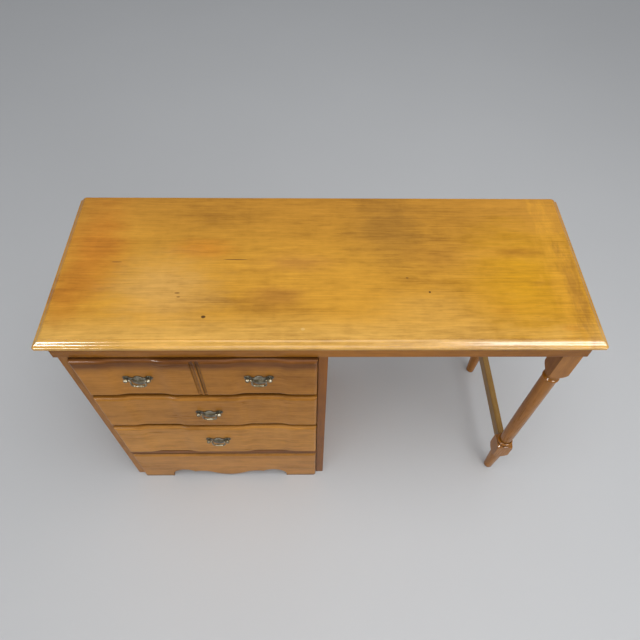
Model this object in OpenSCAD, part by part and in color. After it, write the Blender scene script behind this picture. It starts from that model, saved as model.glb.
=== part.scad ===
// Kneehole desk: a pedestal of three drawers at the left, two turned legs at the right.
// Millimetres, +X right, -Y front, +Z up. The origin is on the floor, under the middle of the desk.
// Depths are written as distances back from the front edge of the top board.

/* [Overall] */
// Width of the top board
top_w = 1219; // [1000:1:1500]
// Depth of the top board
top_d = 445; // [400:1:600]
// Height of the writing surface above the floor
desk_h = 749; // [700:1:800]
// Width of the pedestal over its sides
pedestal_w = 582; // [420:1:620]

/* [Top board] */
// Thickness of the top board
top_t = 19.5; // [17:0.5:30]
// Width of the moulding along the front and both ends
edge_run = 17; // [10:0.5:22]
// Height of the moulding's curve
edge_drop = 9; // [5:0.5:11]
// Step where the moulding leaves the flat
edge_quirk = 1; // [0.5:0.1:2]
// Rounding of the nose under the moulding
nose_r = 2.5; // [1:0.1:3]
// Rounding of the front corners, seen from above
corner_turn_r = 5; // [3:0.5:10]
// Reach of the top past the frieze at each end
end_overhang = 33; // [10:1:60]
// Reach of the top past the frieze at the front
front_overhang = 1; // [0:0.5:20]
// Reach of the top past the frieze at the back
back_overhang = 41; // [0:1:50]

/* [Frieze under the top] */
// Height of the frieze rails
frieze_h = 28; // [26:0.5:50]
// Thickness of the frieze rails
frieze_t = 20; // [15:0.5:26]
// Step of the frieze past the pedestal and legs at the ends and back
frieze_step = 7.5; // [0:0.5:12]
// Step of the frieze past the pedestal and legs at the front
frieze_proud = 1.5; // [0:0.5:5]
// Leg length of the triangular corner blocks
corner_block = 60; // [54:1:90]

/* [Pedestal] */
// Thickness of the pedestal's side panels
side_t = 19; // [15:0.5:25]
// Width of the front stiles
stile_w = 22; // [21:0.5:35]
// Thickness of the front stiles
stile_t = 20; // [15:0.5:28]
// Rounding of the long edges of rails and stiles
ease = 1.5; // [0.5:0.1:3]
// Thickness of the back panel
back_t = 6; // [4:0.5:10]
// Height of the rails between the drawers
rail_h = 15; // [12:0.5:28]
// Height of the lowest rail
low_rail_h = 21; // [14:0.5:28]
// Depth of the rails between the drawers
rail_d = 50; // [30:1:80]
// Setback of the two upper rails from the stiles
rail_setback = 3.5; // [0:0.5:8]
// How far the lowest rail stands in front of the stiles
low_rail_proud = 7; // [0:0.5:10]
// Width of the runners that carry the drawers
runner_w = 30; // [20:1:50]
// Width of the kickers over the top drawer's sides
kicker_w = 20; // [16:1:40]

/* [Base apron] */
// Gap between the lowest rail and the apron
apron_gap = 4; // [1:0.5:6]
// Thickness of the scrolled apron
apron_t = 20; // [16:0.5:26]
// How far the apron stands in front of the stiles
apron_proud = 11.5; // [8:0.5:14]
// Width of the apron's feet
foot_w = 91; // [60:0.5:110]
// Radius of the arch beside each foot
arch_r = 40; // [25:1:48]
// Height of the centre of that arch
arch_z = 11; // [5:1:20]
// Radius of the lobe between arch and pendant
lobe_r = 60; // [45:1:75]
// Height of the top of that lobe
lobe_top = 40; // [32:1:48]
// Distance of the lobe from the middle
lobe_x = 85; // [80:1:95]
// Radius of the pendant in the middle
pendant_r = 80; // [50:1:120]
// Side of the glue blocks behind the apron
glue_block = 25; // [15:1:35]

/* [Drawers] */
// Height of the top drawer's front
top_drawer_h = 154; // [110:0.5:158]
// Height of the middle drawer's front
middle_drawer_h = 150.5; // [110:0.5:155]
// Height of the bottom drawer's front
bottom_drawer_h = 162; // [120:0.5:170]
// Gap above and below each front
drawer_gap = 2; // [1:0.1:4]
// Gap at each end of a front
end_gap = 1; // [0.8:0.1:3]
// How far the fronts stand before the stiles
front_proud = 13; // [10:0.5:15]
// Thickness of a front at its humps
front_t = 24; // [21:0.5:30]
// Rounding of the edges of a front
front_round = 8; // [4:0.5:9]
// Depth of the hollows in the wavy fronts
wave = 4; // [2:0.5:6]
// Length of one swing from hump to hollow
swing = 40; // [30:1:44]
// Flat length of a hollow, which holds a pull
hollow_w = 68; // [68:1:76]
// Half the flat length of the middle hump
hump_half = 62; // [40:1:64]
// Width of the upright divider worked on the top drawer
divider_w = 22; // [18:0.5:28]
// Depth of the divider's grooves
divider_d = 4; // [3.5:0.5:5]
// Radius of the bead between those grooves
divider_bead_r = 3; // [2:0.1:3.4]
// Thickness of drawer sides and back
box_t = 12; // [9:0.5:15]
// How far drawer sides stop below the top of the front
side_drop = 12; // [6:1:25]
// How far drawer backs stop below the sides
back_drop = 5; // [0:1:20]
// Thickness of the drawer bottoms
bottom_t = 5; // [3:0.5:8]
// Height of the groove for the bottom above the lower edge
bottom_up = 10; // [7:0.5:14]
// Depth of the groove for the bottom
groove_d = 5; // [3:0.5:6]
// Number of dovetails on each drawer side
tails = 4; // [3:1:6]
// Length of the dovetails
tail_len = 12; // [8:0.5:12]
// Slope of the dovetails
tail_slope = 8; // [5:0.5:10]
// Distance from a drawer's back end to the back panel
drawer_short = 20; // [12:1:40]
// Running clearance under the drawers and at the stops
run_fit = 0.3; // [0.2:0.05:0.6]
// Clearance between a drawer side and its kicker
kicker_fit = 1; // [0.5:0.1:2]

/* [Pulls] */
// Distance between the two posts of a pull
pull_span = 51; // [48:1:60]
// Radius of the round ends of the backplate
plate_end_r = 8; // [6.5:0.1:8.5]
// Height of the backplate's crest above the posts
crest_top = 8; // [7:0.1:13]
// Radius of that crest
crest_r = 10; // [7:0.1:11]
// Depth of the backplate's belly below the posts
belly_low = 29; // [18:0.1:32]
// Radius of that belly
belly_r = 15; // [12:0.1:16]
// Radius of the scallops between the round ends, the crest and the belly
scallop_r = 6; // [5:0.1:8]
// How far the scallops cut into those rounds
scallop_bite = 0.4; // [0.2:0.1:1]
// Thickness of the backplate
plate_t = 1.6; // [1:0.1:2.5]
// Distance of the bail's axis from the backplate
post_out = 6.4; // [6.2:0.1:14]
// Radius of the ball on each post
ball_r = 5.5; // [4.5:0.1:6.5]
// Radius of the post's neck
neck_r = 3.2; // [2.5:0.1:4]
// Radius of the bolt behind each post
bolt_r = 1.9; // [1.5:0.1:2.4]
// Radius of the bail's wire
bail_r = 2.2; // [1.6:0.1:2.6]
// Radius of the bail's thick middle
grip_r = 3; // [2.6:0.1:3.6]
// Radius of the pins at the bail's ends
pin_r = 1.4; // [1:0.1:1.6]
// Drop of the bail from its pins
bail_drop = 25.5; // [20:0.5:30]
// Bend radius of the bail at its ends
bail_elbow = 3.5; // [2.8:0.1:5]
// Bend radius of the bail's lower corners
bail_corner = 8; // [5:0.5:10]
// Clearance round the bail's pins
pin_fit = 0.1; // [0.05:0.01:0.15]
// Clearance between the bail and the balls at its sides
ball_fit = 0.3; // [0.2:0.05:0.5]
// Height of the top drawer's pulls above its lower edge
top_pull_up = 82; // [60:0.5:100]
// Height of the middle drawer's pull above its lower edge
middle_pull_up = 84.5; // [60:0.5:100]
// Height of the bottom drawer's pull above its lower edge
bottom_pull_up = 97; // [60:0.5:110]

/* [Legs] */
// Side of the square leg blocks
leg_w = 44; // [38:1:52]
// Square length of the upper block
block_len = 79.5; // [60:0.5:110]
// Length of the upper block's rounded shoulder
upper_shoulder = 20; // [16:1:36]
// Radius of the hollow neck between the two upper beads
neck_turn_r = 15; // [11:0.5:16]
// Depth of the neck's hollow
neck_turn_d = 2.5; // [1:0.1:3]
// Length of the neck
neck_turn_h = 11; // [6:0.5:16]
// Radius of the upper beads
upper_bead_r = 20.5; // [20:0.5:21.5]
// Depth of the upper beads' round
upper_bead_d = 2.5; // [1.5:0.1:3]
// Thickness of each upper bead
upper_bead_t = 9; // [7:0.5:12]
// Radius of the shaft at its top
shaft_top_r = 18.6; // [15:0.1:19]
// Radius of the shaft at its lower end
shaft_foot_r = 16; // [13:0.1:17]
// How much the shaft swells in the lower half
shaft_swell = 1.3; // [0:0.1:2]
// Height of the top of the lower bead above the floor
lower_bead_z = 202; // [180:1:260]
// Radius of the lower bead
lower_bead_r = 22; // [20:0.5:24]
// Depth of the lower bead's round
lower_bead_d = 4; // [2:0.1:4]
// Thickness of the lower bead
lower_bead_t = 12; // [8:0.5:16]
// Square length of the lower block
lower_block = 32; // [24:1:50]
// Length of the shoulder over the lower block
top_shoulder = 18; // [12:1:24]
// Length of the shoulder under the lower block
foot_shoulder = 22; // [14:1:26]
// Radius of the foot at its top
foot_top_r = 18; // [14:0.5:19]
// Radius of the foot near the floor
foot_end_r = 13; // [9:0.5:14]

/* [Rails between the legs] */
// Thickness of the stretcher
stretcher_t = 18; // [12:0.5:24]
// Height of the stretcher
stretcher_h = 38; // [28:1:44]
// Height of the stretcher's middle above the middle of the lower blocks
stretcher_lift = 3; // [-4:0.5:8]
// Thickness of the aprons at the right end and back
leg_apron_t = 19; // [14:0.5:24]
// Height of those aprons
leg_apron_h = 62; // [40:1:72]
// Setback of those aprons from the legs' outer faces
leg_apron_in = 4; // [1:0.5:10]
// Length of the tenons
tenon_len = 16; // [8:1:20]
// Shoulder left round each tenon
tenon_shoulder = 4; // [2:0.5:5]

/* [Screws] */
// Radius of the screws that hold the top
screw_r = 2; // [1.5:0.1:3]
// Depth of those screws in the top
screw_in = 12; // [8:0.5:14]
// Radius of the bolts that hold the legs
leg_bolt_r = 4; // [3:0.5:5]
// Depth of those bolts in the legs
leg_bolt_in = 45; // [30:1:60]
// Distance of those bolts from the frieze rails
leg_bolt_at = 13; // [11:0.5:16]

/* [Hidden] */
$fn = 64;

maple = "#a9743c";
maple_top = "#d9a951";
maple_inside = "#c9a672";
plywood = "#b8966a";
brass = "#8d8468";
steel = "#8f9296";

// Depths from the front edge of the top board
frieze_y = [front_overhang, top_d - back_overhang];
case_y = [frieze_y[0] + frieze_proud, frieze_y[1] - frieze_step];
face_y = case_y[0] - front_proud;
front_back_y = face_y + front_t;
rail_y = [case_y[0] + rail_setback, case_y[0] + rail_setback + rail_d];
back_y = [case_y[1] - back_t, case_y[1]];
box_end_y = back_y[0] - drawer_short;
pull_reach = plate_t + post_out + ball_r - face_y;
nose_y = (pull_reach - top_d) / 2;

// Heights
under_top = desk_h - top_t;
case_h = under_top - frieze_h;
drawer_h = [top_drawer_h, middle_drawer_h, bottom_drawer_h];
function drawer_z(i) =
    (i == 0 ? case_h - drawer_gap : drawer_z(i - 1) - rail_h - 2 * drawer_gap) - drawer_h[i];
function rail_z(i) =
    [drawer_z(i) - drawer_gap - (i == 2 ? low_rail_h : rail_h), drawer_z(i) - drawer_gap];
function runner_top(i) = drawer_z(i) - run_fit;
apron_h = rail_z(2)[0] - apron_gap;

// Positions across the desk
frieze_x = top_w / 2 - end_overhang;
case_x = [-frieze_x + frieze_step, -frieze_x + frieze_step + pedestal_w];
inner_x = [case_x[0] + side_t, case_x[1] - side_t];
back_x = [inner_x[0] - side_t / 2, inner_x[1] + side_t / 2];
opening_x = [case_x[0] + stile_w, case_x[1] - stile_w];
pedestal_mid = (case_x[0] + case_x[1]) / 2;
front_half = (opening_x[1] - opening_x[0]) / 2 - end_gap;
leg_out = frieze_x - frieze_step;
leg_x = leg_out - leg_w / 2;
leg_y = [case_y[0] + leg_w / 2, case_y[1] - leg_w / 2];

// Wavy fronts: each swing is two equal arcs that meet tangentially
swing_r = (swing * swing + wave * wave) / (4 * wave);
swing_angle = asin(swing / 2 / swing_r);
hollow_from = hump_half + swing;
end_hump_from = hollow_from + hollow_w + swing;
skin = front_round + wave;

// Moulding of the top board: two equal arcs between the flat and the nose
ogee_r = (edge_run * edge_run + edge_drop * edge_drop) / (4 * edge_drop);

// Pulls: drawer, distance from the middle, depth of the face behind the humps, height
pull_mid = hollow_from + hollow_w / 2;
pull_seat = [
    [0, -pull_mid, wave, top_pull_up],
    [0, pull_mid, wave, top_pull_up],
    [1, 0, 0, middle_pull_up],
    [2, 0, 0, bottom_pull_up]
];
post_x = pull_span / 2;
axis_out = plate_t + post_out;
bail_end_x = post_x - ball_r - ball_fit;
bail_x = bail_end_x - bail_elbow;
grip_half = bail_x - bail_corner;
nut_r = 2.2 * bolt_r;
nut_h = 1.5 * bolt_r;
cut = 1;

// Scrolled apron: the pendant touches the lobes at the side of both circles
open_half = front_half - foot_w;
lobe_z = lobe_top - lobe_r;
pendant_z = lobe_z + sqrt(pow(lobe_r + pendant_r, 2) - lobe_x * lobe_x);
meet_x = lobe_x * pendant_r / (lobe_r + pendant_r);
apron_y = [case_y[0] - apron_proud, case_y[0] - apron_proud + apron_t];

// Turned legs
corner_r = leg_w / sqrt(2);
block_z = case_h - block_len;
upper_neck_z = block_z - upper_shoulder;
upper_bead_z = upper_neck_z - neck_turn_h - 2 * upper_bead_t;
lower_shoulder_z = lower_bead_z - lower_bead_t - top_shoulder;
lower_block_z = lower_shoulder_z - lower_block;
foot_z = lower_block_z - foot_shoulder;
stretcher_mid = lower_block_z + lower_block / 2 + stretcher_lift;
tenon_h = stretcher_h - 2 * tenon_shoulder;
tenon_t = stretcher_t - 2 * tenon_shoulder;
turn_step = 1;
function shoulder_r(axial, radial) = (axial * axial + radial * radial) / (2 * radial);

// Screws
screw_head_r = 2 * screw_r;
bolt_head_r = 1.6 * leg_bolt_r;
bolt_head_h = 1.3 * leg_bolt_r;
screw_at = 0.42 * corner_block;
hole_fit = 0.1;

// A board between ranges of x, depth and z
module board(x, y, z)
    translate([x[0], nose_y + y[0], z[0]])
        cube([x[1] - x[0], y[1] - y[0], z[1] - z[0]]);

// Outlines drawn in (depth, z), (x, z) and (x, depth), pulled along the third direction
module along_x(x)
    translate([x[0], nose_y, 0])
        rotate([90, 0, 90])
            linear_extrude(x[1] - x[0])
                children();

module along_y(y)
    translate([0, nose_y + y[1], 0])
        rotate([90, 0, 0])
            linear_extrude(y[1] - y[0])
                children();

module along_z(z)
    translate([0, nose_y, z[0]])
        linear_extrude(z[1] - z[0])
            children();

// Rectangle with four rounded corners
module eased(a, b, r = ease) {
    translate([a[0] + r, b[0]])
        square([a[1] - a[0] - 2 * r, b[1] - b[0]]);
    translate([a[0], b[0] + r])
        square([a[1] - a[0], b[1] - b[0] - 2 * r]);
    for (u = [a[0] + r, a[1] - r], v = [b[0] + r, b[1] - r])
        translate([u, v])
            circle(r);
}

// Moulded edge of the top, its nose at 0 and the flat of the top at height 0
module ogee_edge() {
    half_run = edge_run / 2;
    flat_z = -edge_quirk;
    nose_z = flat_z - edge_drop;
    mid_z = (flat_z + nose_z) / 2;
    difference() {
        translate([0, -top_t])
            square([half_run, top_t + mid_z]);
        translate([0, nose_z + ogee_r])
            circle(ogee_r);
        translate([-cut, -top_t - cut])
            square([nose_r + cut, nose_r + cut]);
        translate([-cut, nose_z - nose_r])
            square([nose_r + cut, nose_r + cut]);
    }
    translate([nose_r, -top_t + nose_r])
        circle(nose_r);
    translate([nose_r, nose_z - nose_r])
        circle(nose_r);
    translate([half_run, -top_t])
        square([half_run, top_t + mid_z]);
    intersection() {
        translate([edge_run, flat_z - ogee_r])
            circle(ogee_r);
        translate([half_run, mid_z])
            square([half_run, flat_z - mid_z]);
    }
}

// The whole top with its moulding, mitred at the front corners
module mitred_top()
    intersection() {
        along_x([-top_w / 2, top_w / 2])
            translate([0, desk_h]) {
                ogee_edge();
                translate([edge_run, -top_t])
                    square([top_d - edge_run, top_t]);
            }
        along_y([0, top_d])
            translate([0, desk_h]) {
                for (side = [0, 1])
                    mirror([side, 0])
                        translate([-top_w / 2, 0])
                            ogee_edge();
                translate([edge_run - top_w / 2, -top_t])
                    square([top_w - 2 * edge_run, top_t]);
            }
    }

// The nose of the moulding turned round the left front corner
module turned_corner()
    translate([corner_turn_r - top_w / 2, nose_y + corner_turn_r, desk_h])
        rotate([0, 0, 180])
            rotate_extrude(angle = 90)
                translate([corner_turn_r, 0])
                    mirror([1, 0])
                        intersection() {
                            ogee_edge();
                            translate([0, -top_t])
                                square([corner_turn_r, top_t]);
                        }

module desktop()
    color(maple_top)
        difference() {
            union() {
                difference() {
                    mitred_top();
                    for (side = [0, 1])
                        mirror([side, 0, 0])
                            board([-top_w / 2 - cut, corner_turn_r - top_w / 2], [-cut, corner_turn_r],
                                [under_top - cut, desk_h + cut]);
                }
                for (side = [0, 1])
                    mirror([side, 0, 0])
                        turned_corner();
            }
            at_screws()
                cylinder(r = screw_r + hole_fit, h = under_top + screw_in);
        }

module frieze_front_rail()
    color(maple)
        along_x([-frieze_x, frieze_x])
            eased([frieze_y[0], frieze_y[0] + frieze_t], [case_h, under_top]);

module frieze_back_rail()
    color(maple)
        along_x([-frieze_x, frieze_x])
            eased([frieze_y[1] - frieze_t, frieze_y[1]], [case_h, under_top]);

module frieze_side_rail(x)
    color(maple)
        along_y([frieze_y[0] + frieze_t, frieze_y[1] - frieze_t])
            eased(x, [case_h, under_top]);

module frieze_left_rail() frieze_side_rail([-frieze_x, -frieze_x + frieze_t]);
module frieze_right_rail() frieze_side_rail([frieze_x - frieze_t, frieze_x]);
module frieze_cross_rail() frieze_side_rail([case_x[1] - frieze_t, case_x[1]]);

// Inner corners of the frieze: x, depth and the two directions of each corner block
block_seats = [
    for (x = [[-frieze_x + frieze_t, 1], [case_x[1] - frieze_t, -1], [frieze_x - frieze_t, -1]],
         y = [[frieze_y[0] + frieze_t, 1], [frieze_y[1] - frieze_t, -1]])
        [x[0], y[0], x[1], y[1]]
];

module at_block(seat)
    translate([seat[0], nose_y + seat[1], 0])
        mirror([seat[2] < 0 ? 1 : 0, 0, 0])
            mirror([0, seat[3] < 0 ? 1 : 0, 0])
                children();

module at_screws()
    for (seat = block_seats)
        at_block(seat)
            translate([screw_at, screw_at, 0])
                children();

module at_leg_bolts()
    for (seat = block_seats)
        if (seat[0] > case_x[1])
            at_block(seat)
                translate([leg_bolt_at, leg_bolt_at, 0])
                    children();

module corner_blocks()
    color(maple_inside)
        difference() {
            for (seat = block_seats)
                at_block(seat)
                    translate([0, 0, case_h])
                        linear_extrude(frieze_h)
                            polygon([[0, 0], [corner_block, 0], [0, corner_block]]);
            at_screws() {
                cylinder(r = screw_r + hole_fit, h = under_top + cut);
                cylinder(r = screw_head_r + hole_fit, h = case_h + screw_r);
                translate([0, 0, case_h + screw_r])
                    cylinder(r1 = screw_head_r + hole_fit, r2 = screw_r + hole_fit, h = screw_r);
            }
            at_leg_bolts() {
                cylinder(r = leg_bolt_r + hole_fit, h = under_top);
                translate([0, 0, under_top - bolt_head_h - hole_fit])
                    cylinder(r = bolt_head_r + hole_fit, h = bolt_head_h + cut);
            }
        }

module top_screws()
    color(steel)
        at_screws()
            translate([0, 0, case_h]) {
                cylinder(r = screw_head_r, h = screw_r);
                translate([0, 0, screw_r])
                    cylinder(r1 = screw_head_r, r2 = screw_r, h = screw_r);
                cylinder(r = screw_r, h = frieze_h + screw_in - hole_fit);
            }

module leg_bolts()
    color(steel)
        at_leg_bolts() {
            translate([0, 0, case_h - leg_bolt_in])
                cylinder(r = leg_bolt_r, h = frieze_h + leg_bolt_in - hole_fit);
            translate([0, 0, under_top - bolt_head_h - hole_fit])
                cylinder(r = bolt_head_r, h = bolt_head_h, $fn = 6);
        }

// Side panel with a rabbet at the back for the back panel
module side_panel(x)
    color(maple)
        difference() {
            board(x, [case_y[0] + stile_t, case_y[1]], [0, case_h]);
            board(back_x, [back_y[0], back_y[1] + cut], [apron_h, case_h + cut]);
        }

module side_panel_left() side_panel([case_x[0], inner_x[0]]);
module side_panel_right() side_panel([inner_x[1], case_x[1]]);

module stile(x)
    color(maple)
        along_z([0, case_h])
            eased(x, [case_y[0], case_y[0] + stile_t]);

module stile_left() stile([case_x[0], opening_x[0]]);
module stile_right() stile([opening_x[1], case_x[1]]);

module back_panel()
    color(plywood)
        board(back_x, back_y, [apron_h, case_h]);

module drawer_rail(i, front)
    color(maple)
        along_x(opening_x)
            eased([front, rail_y[1]], rail_z(i));

module drawer_rail_upper() drawer_rail(0, rail_y[0]);
module drawer_rail_middle() drawer_rail(1, rail_y[0]);
module drawer_rail_lower() drawer_rail(2, case_y[0] - low_rail_proud);

// Both runners of one drawer, against the side panels
module runners(i)
    color(maple_inside)
        for (x = [[inner_x[0], inner_x[0] + runner_w], [inner_x[1] - runner_w, inner_x[1]]])
            board(x, [rail_y[1], back_y[0]], [rail_z(i)[0], runner_top(i)]);

module runners_upper() runners(0);
module runners_middle() runners(1);
module runners_lower() runners(2);

module web_back_rails()
    color(maple_inside)
        for (i = [0 : 2])
            board([inner_x[0] + runner_w, inner_x[1] - runner_w], [back_y[0] - rail_d, back_y[0]], rail_z(i));

module kickers()
    color(maple_inside)
        for (x = [[inner_x[0], inner_x[0] + kicker_w], [inner_x[1] - kicker_w, inner_x[1]]])
            board(x, [case_y[0] + stile_t, back_y[0]],
                [drawer_z(0) + top_drawer_h - side_drop + kicker_fit, case_h]);

// Blocks on the back ends of the runners, which the drawer sides meet when shut
module drawer_stops()
    color(maple_inside)
        for (i = [0 : 2], x = [[inner_x[0], inner_x[0] + runner_w / 2], [inner_x[1] - runner_w / 2, inner_x[1]]])
            board(x, [box_end_y + run_fit, back_y[0]], [runner_top(i), runner_top(i) + rail_h]);

// Cut-out under the apron: an arch beside each foot, a lobe, and a pendant in the middle
module apron_cut() {
    for (side = [0, 1])
        mirror([side, 0]) {
            translate([open_half - arch_r, arch_z])
                circle(arch_r);
            translate([open_half - 2 * arch_r, -cut])
                square([2 * arch_r, arch_z + cut]);
            intersection() {
                translate([lobe_x, lobe_z])
                    circle(lobe_r);
                translate([meet_x, -cut])
                    square([open_half - arch_r - meet_x, lobe_top + 2 * cut]);
            }
        }
    difference() {
        translate([-meet_x, -cut])
            square([2 * meet_x, pendant_z + cut]);
        translate([0, pendant_z])
            circle(pendant_r);
    }
}

// What a quarter round takes off the corner at the origin, of wood that lies at +u and -v
module edge_waste()
    difference() {
        translate([-cut, -front_round])
            square([front_round + cut, front_round + cut]);
        translate([front_round, -front_round])
            circle(front_round);
    }

// Rounds both upright front edges of a piece that is h high and centred on x = 0
module rounded_ends(h)
    difference() {
        children();
        for (side = [0, 1])
            mirror([side, 0, 0])
                translate([-front_half, 0, -cut])
                    linear_extrude(h + 2 * cut)
                        rotate(90)
                            edge_waste();
    }

module base_apron()
    color(maple)
        translate([pedestal_mid, nose_y + apron_y[0], 0])
            rounded_ends(apron_h)
                difference() {
                    translate([-front_half, 0, 0])
                        cube([2 * front_half, apron_t, apron_h]);
                    translate([-front_half - cut, 0, apron_h])
                        rotate([90, 0, 90])
                            linear_extrude(2 * front_half + 2 * cut)
                                edge_waste();
                    translate([0, apron_t + cut, 0])
                        rotate([90, 0, 0])
                            linear_extrude(apron_t + 2 * cut)
                                apron_cut();
                }

module base_glue_blocks()
    color(maple_inside)
        for (x = [[opening_x[0], opening_x[0] + glue_block], [opening_x[1] - glue_block, opening_x[1]]])
            board(x, [apron_y[1], apron_y[1] + glue_block], [arch_z + arch_r + glue_block, rail_z(2)[0]]);

// Section of a wavy front in (depth behind the face, z)
module front_section(h) {
    translate([front_round, 0])
        square([skin - front_round, h]);
    translate([0, front_round])
        square([front_round, h - 2 * front_round]);
    for (z = [front_round, h - front_round])
        translate([front_round, z])
            circle(front_round);
}

module straight_run(x, depth, h)
    translate([x[0], depth, 0])
        rotate([90, 0, 90])
            linear_extrude(x[1] - x[0])
                front_section(h);

// One swing from a hump at x to the hollow beyond it
module swing_run(x, h) {
    translate([x, swing_r, 0])
        rotate([0, 0, -90])
            rotate_extrude(angle = swing_angle)
                translate([swing_r, 0])
                    mirror([1, 0])
                        front_section(h);
    translate([x + swing, wave - swing_r, 0])
        rotate([0, 0, 90])
            rotate_extrude(angle = swing_angle)
                translate([swing_r, 0])
                    front_section(h);
}

module front_blank(h) {
    straight_run([-hump_half, hump_half], 0, h);
    for (side = [0, 1])
        mirror([side, 0, 0]) {
            swing_run(hump_half, h);
            straight_run([hollow_from, hollow_from + hollow_w], wave, h);
            translate([end_hump_from, 0, 0])
                mirror([1, 0, 0])
                    swing_run(0, h);
            straight_run([end_hump_from, front_half], 0, h);
        }
    translate([-front_half, skin, 0])
        cube([2 * front_half, front_t - skin, h]);
}

// Dovetails of one drawer side in (depth, z)
module tail_row(i) {
    h = drawer_h[i] - side_drop;
    pitch = h / tails;
    wide = 0.62 * pitch;
    narrow = wide - 2 * tail_len * tan(tail_slope);
    for (k = [0 : tails - 1])
        translate([front_back_y - tail_len, drawer_z(i) + (k + 0.5) * pitch])
            polygon([[0, -wide / 2], [0, wide / 2], [tail_len, narrow / 2], [tail_len, -narrow / 2]]);
}

box_x = [pedestal_mid - front_half, pedestal_mid + front_half];
module drawer_groove(i)
    board([box_x[0] + box_t - groove_d, box_x[1] - box_t + groove_d],
        [front_back_y - groove_d, box_end_y + cut],
        [drawer_z(i) + bottom_up, drawer_z(i) + bottom_up + bottom_t]);

module drawer_front(i)
    color(maple)
        difference() {
            translate([pedestal_mid, nose_y + face_y, drawer_z(i)])
                difference() {
                    rounded_ends(drawer_h[i])
                        front_blank(drawer_h[i]);
                    if (i == 0)
                        translate([0, 0, -cut])
                            divider_cut(drawer_h[i] + 2 * cut);
                }
            for (x = [[box_x[0] - cut, box_x[0] + box_t], [box_x[1] - box_t, box_x[1] + cut]])
                along_x(x)
                    tail_row(i);
            drawer_groove(i);
            for (seat = pull_seat)
                if (seat[0] == i)
                    at_pull(seat)
                        at_posts()
                            rotate([-90, 0, 0])
                                cylinder(r = bolt_r + hole_fit, h = front_t + cut);
        }

// Two hollow grooves with a round bead between them
module divider_cut(h)
    linear_extrude(h)
        difference() {
            groove_x = divider_w / 2 - divider_d;
            union() {
                translate([-groove_x, -cut])
                    square([2 * groove_x, divider_d + cut]);
                for (x = [-groove_x, groove_x])
                    translate([x, 0])
                        circle(divider_d);
            }
            translate([0, divider_bead_r])
                circle(divider_bead_r);
            translate([-divider_bead_r, divider_bead_r])
                square([2 * divider_bead_r, divider_d - divider_bead_r + cut]);
        }

// Drawer side with dovetails in front, a groove for the bottom and a housing for the back
module drawer_side(i, x)
    color(maple_inside)
        difference() {
            union() {
                along_y([front_back_y, box_end_y])
                    eased(x, [drawer_z(i), drawer_z(i) + drawer_h[i] - side_drop]);
                along_x(x)
                    tail_row(i);
            }
            drawer_groove(i);
            drawer_back_board(i, hole_fit);
        }

module drawer_back_board(i, fit = 0)
    board([box_x[0] + box_t - groove_d - fit, box_x[1] - box_t + groove_d + fit],
        [box_end_y - 2 * box_t - fit, box_end_y - box_t + fit],
        [drawer_z(i) + bottom_up + bottom_t, drawer_z(i) + drawer_h[i] - side_drop - back_drop + fit]);

module drawer_side_left(i) drawer_side(i, [box_x[0], box_x[0] + box_t]);
module drawer_side_right(i) drawer_side(i, [box_x[1] - box_t, box_x[1]]);

module drawer_back(i)
    color(maple_inside)
        drawer_back_board(i);

module drawer_bottom(i)
    color(plywood)
        board([box_x[0] + box_t - groove_d, box_x[1] - box_t + groove_d],
            [front_back_y - groove_d, box_end_y - box_t],
            [drawer_z(i) + bottom_up, drawer_z(i) + bottom_up + bottom_t]);

// Middle of a pull, on the face of its drawer, at the height of its posts
module at_pull(seat)
    translate([pedestal_mid + seat[1], nose_y + face_y + seat[2], drawer_z(seat[0]) + seat[3]])
        children();

module at_posts()
    for (side = [0, 1])
        mirror([side, 0, 0])
            translate([post_x, 0, 0])
                children();

// Point at distances rp from p and rq from q, on one side of the line between them
function point_at(p, rp, q, rq, side) =
    let (d = norm(q - p), u = (q - p) / d, a = (d * d + rp * rp - rq * rq) / (2 * d))
        p + a * u + side * sqrt(rp * rp - a * a) * [-u[1], u[0]];

// Backplate outline: round ends, a crest above, a belly below, and scallops between them
module plate_outline() {
    end = [post_x, 0];
    crest = [0, crest_top - crest_r];
    belly = [0, belly_r - belly_low];
    reach = scallop_r - scallop_bite;
    upper = point_at(end, plate_end_r + reach, crest, crest_r + reach, -1);
    lower = point_at(end, plate_end_r + reach, belly, belly_r + reach, 1);
    for (side = [0, 1])
        mirror([side, 0])
            difference() {
                union() {
                    polygon([end, upper, crest, belly, lower]);
                    translate(end)
                        circle(plate_end_r);
                }
                for (scallop = [upper, lower])
                    translate(scallop)
                        circle(scallop_r);
            }
    translate(crest)
        circle(crest_r);
    translate(belly)
        circle(belly_r);
}

module pull_plate(k)
    color(brass)
        at_pull(pull_seat[k])
            difference() {
                rotate([90, 0, 0])
                    linear_extrude(plate_t)
                        plate_outline();
                at_posts()
                    rotate([90, 0, 0])
                        translate([0, 0, -cut])
                            cylinder(r = bolt_r + hole_fit, h = plate_t + 2 * cut);
            }

// A ball on a necked post, with its bolt through the front and a nut inside the drawer
module pull_posts(k) {
    inside = front_t - pull_seat[k][2];
    bolt_end = inside + nut_h + bolt_r;
    color(brass)
        at_pull(pull_seat[k])
            at_posts()
                rotate([90, 0, 0]) {
                    difference() {
                        union() {
                            translate([0, 0, plate_t])
                                cylinder(r = ball_r, h = plate_t * 0.75);
                            translate([0, 0, plate_t])
                                cylinder(r = neck_r, h = post_out);
                            translate([0, 0, axis_out])
                                sphere(ball_r);
                            translate([0, 0, -bolt_end])
                                cylinder(r = bolt_r, h = bolt_end + plate_t);
                        }
                        translate([0, 0, axis_out])
                            rotate([0, -90, 0])
                                cylinder(r = pin_r + pin_fit, h = ball_r + cut);
                    }
                    translate([0, 0, -inside - nut_h])
                        difference() {
                            cylinder(r = nut_r, h = nut_h, $fn = 6);
                            translate([0, 0, -cut])
                                cylinder(r = bolt_r + hole_fit, h = nut_h + 2 * cut);
                        }
                }
}

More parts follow.
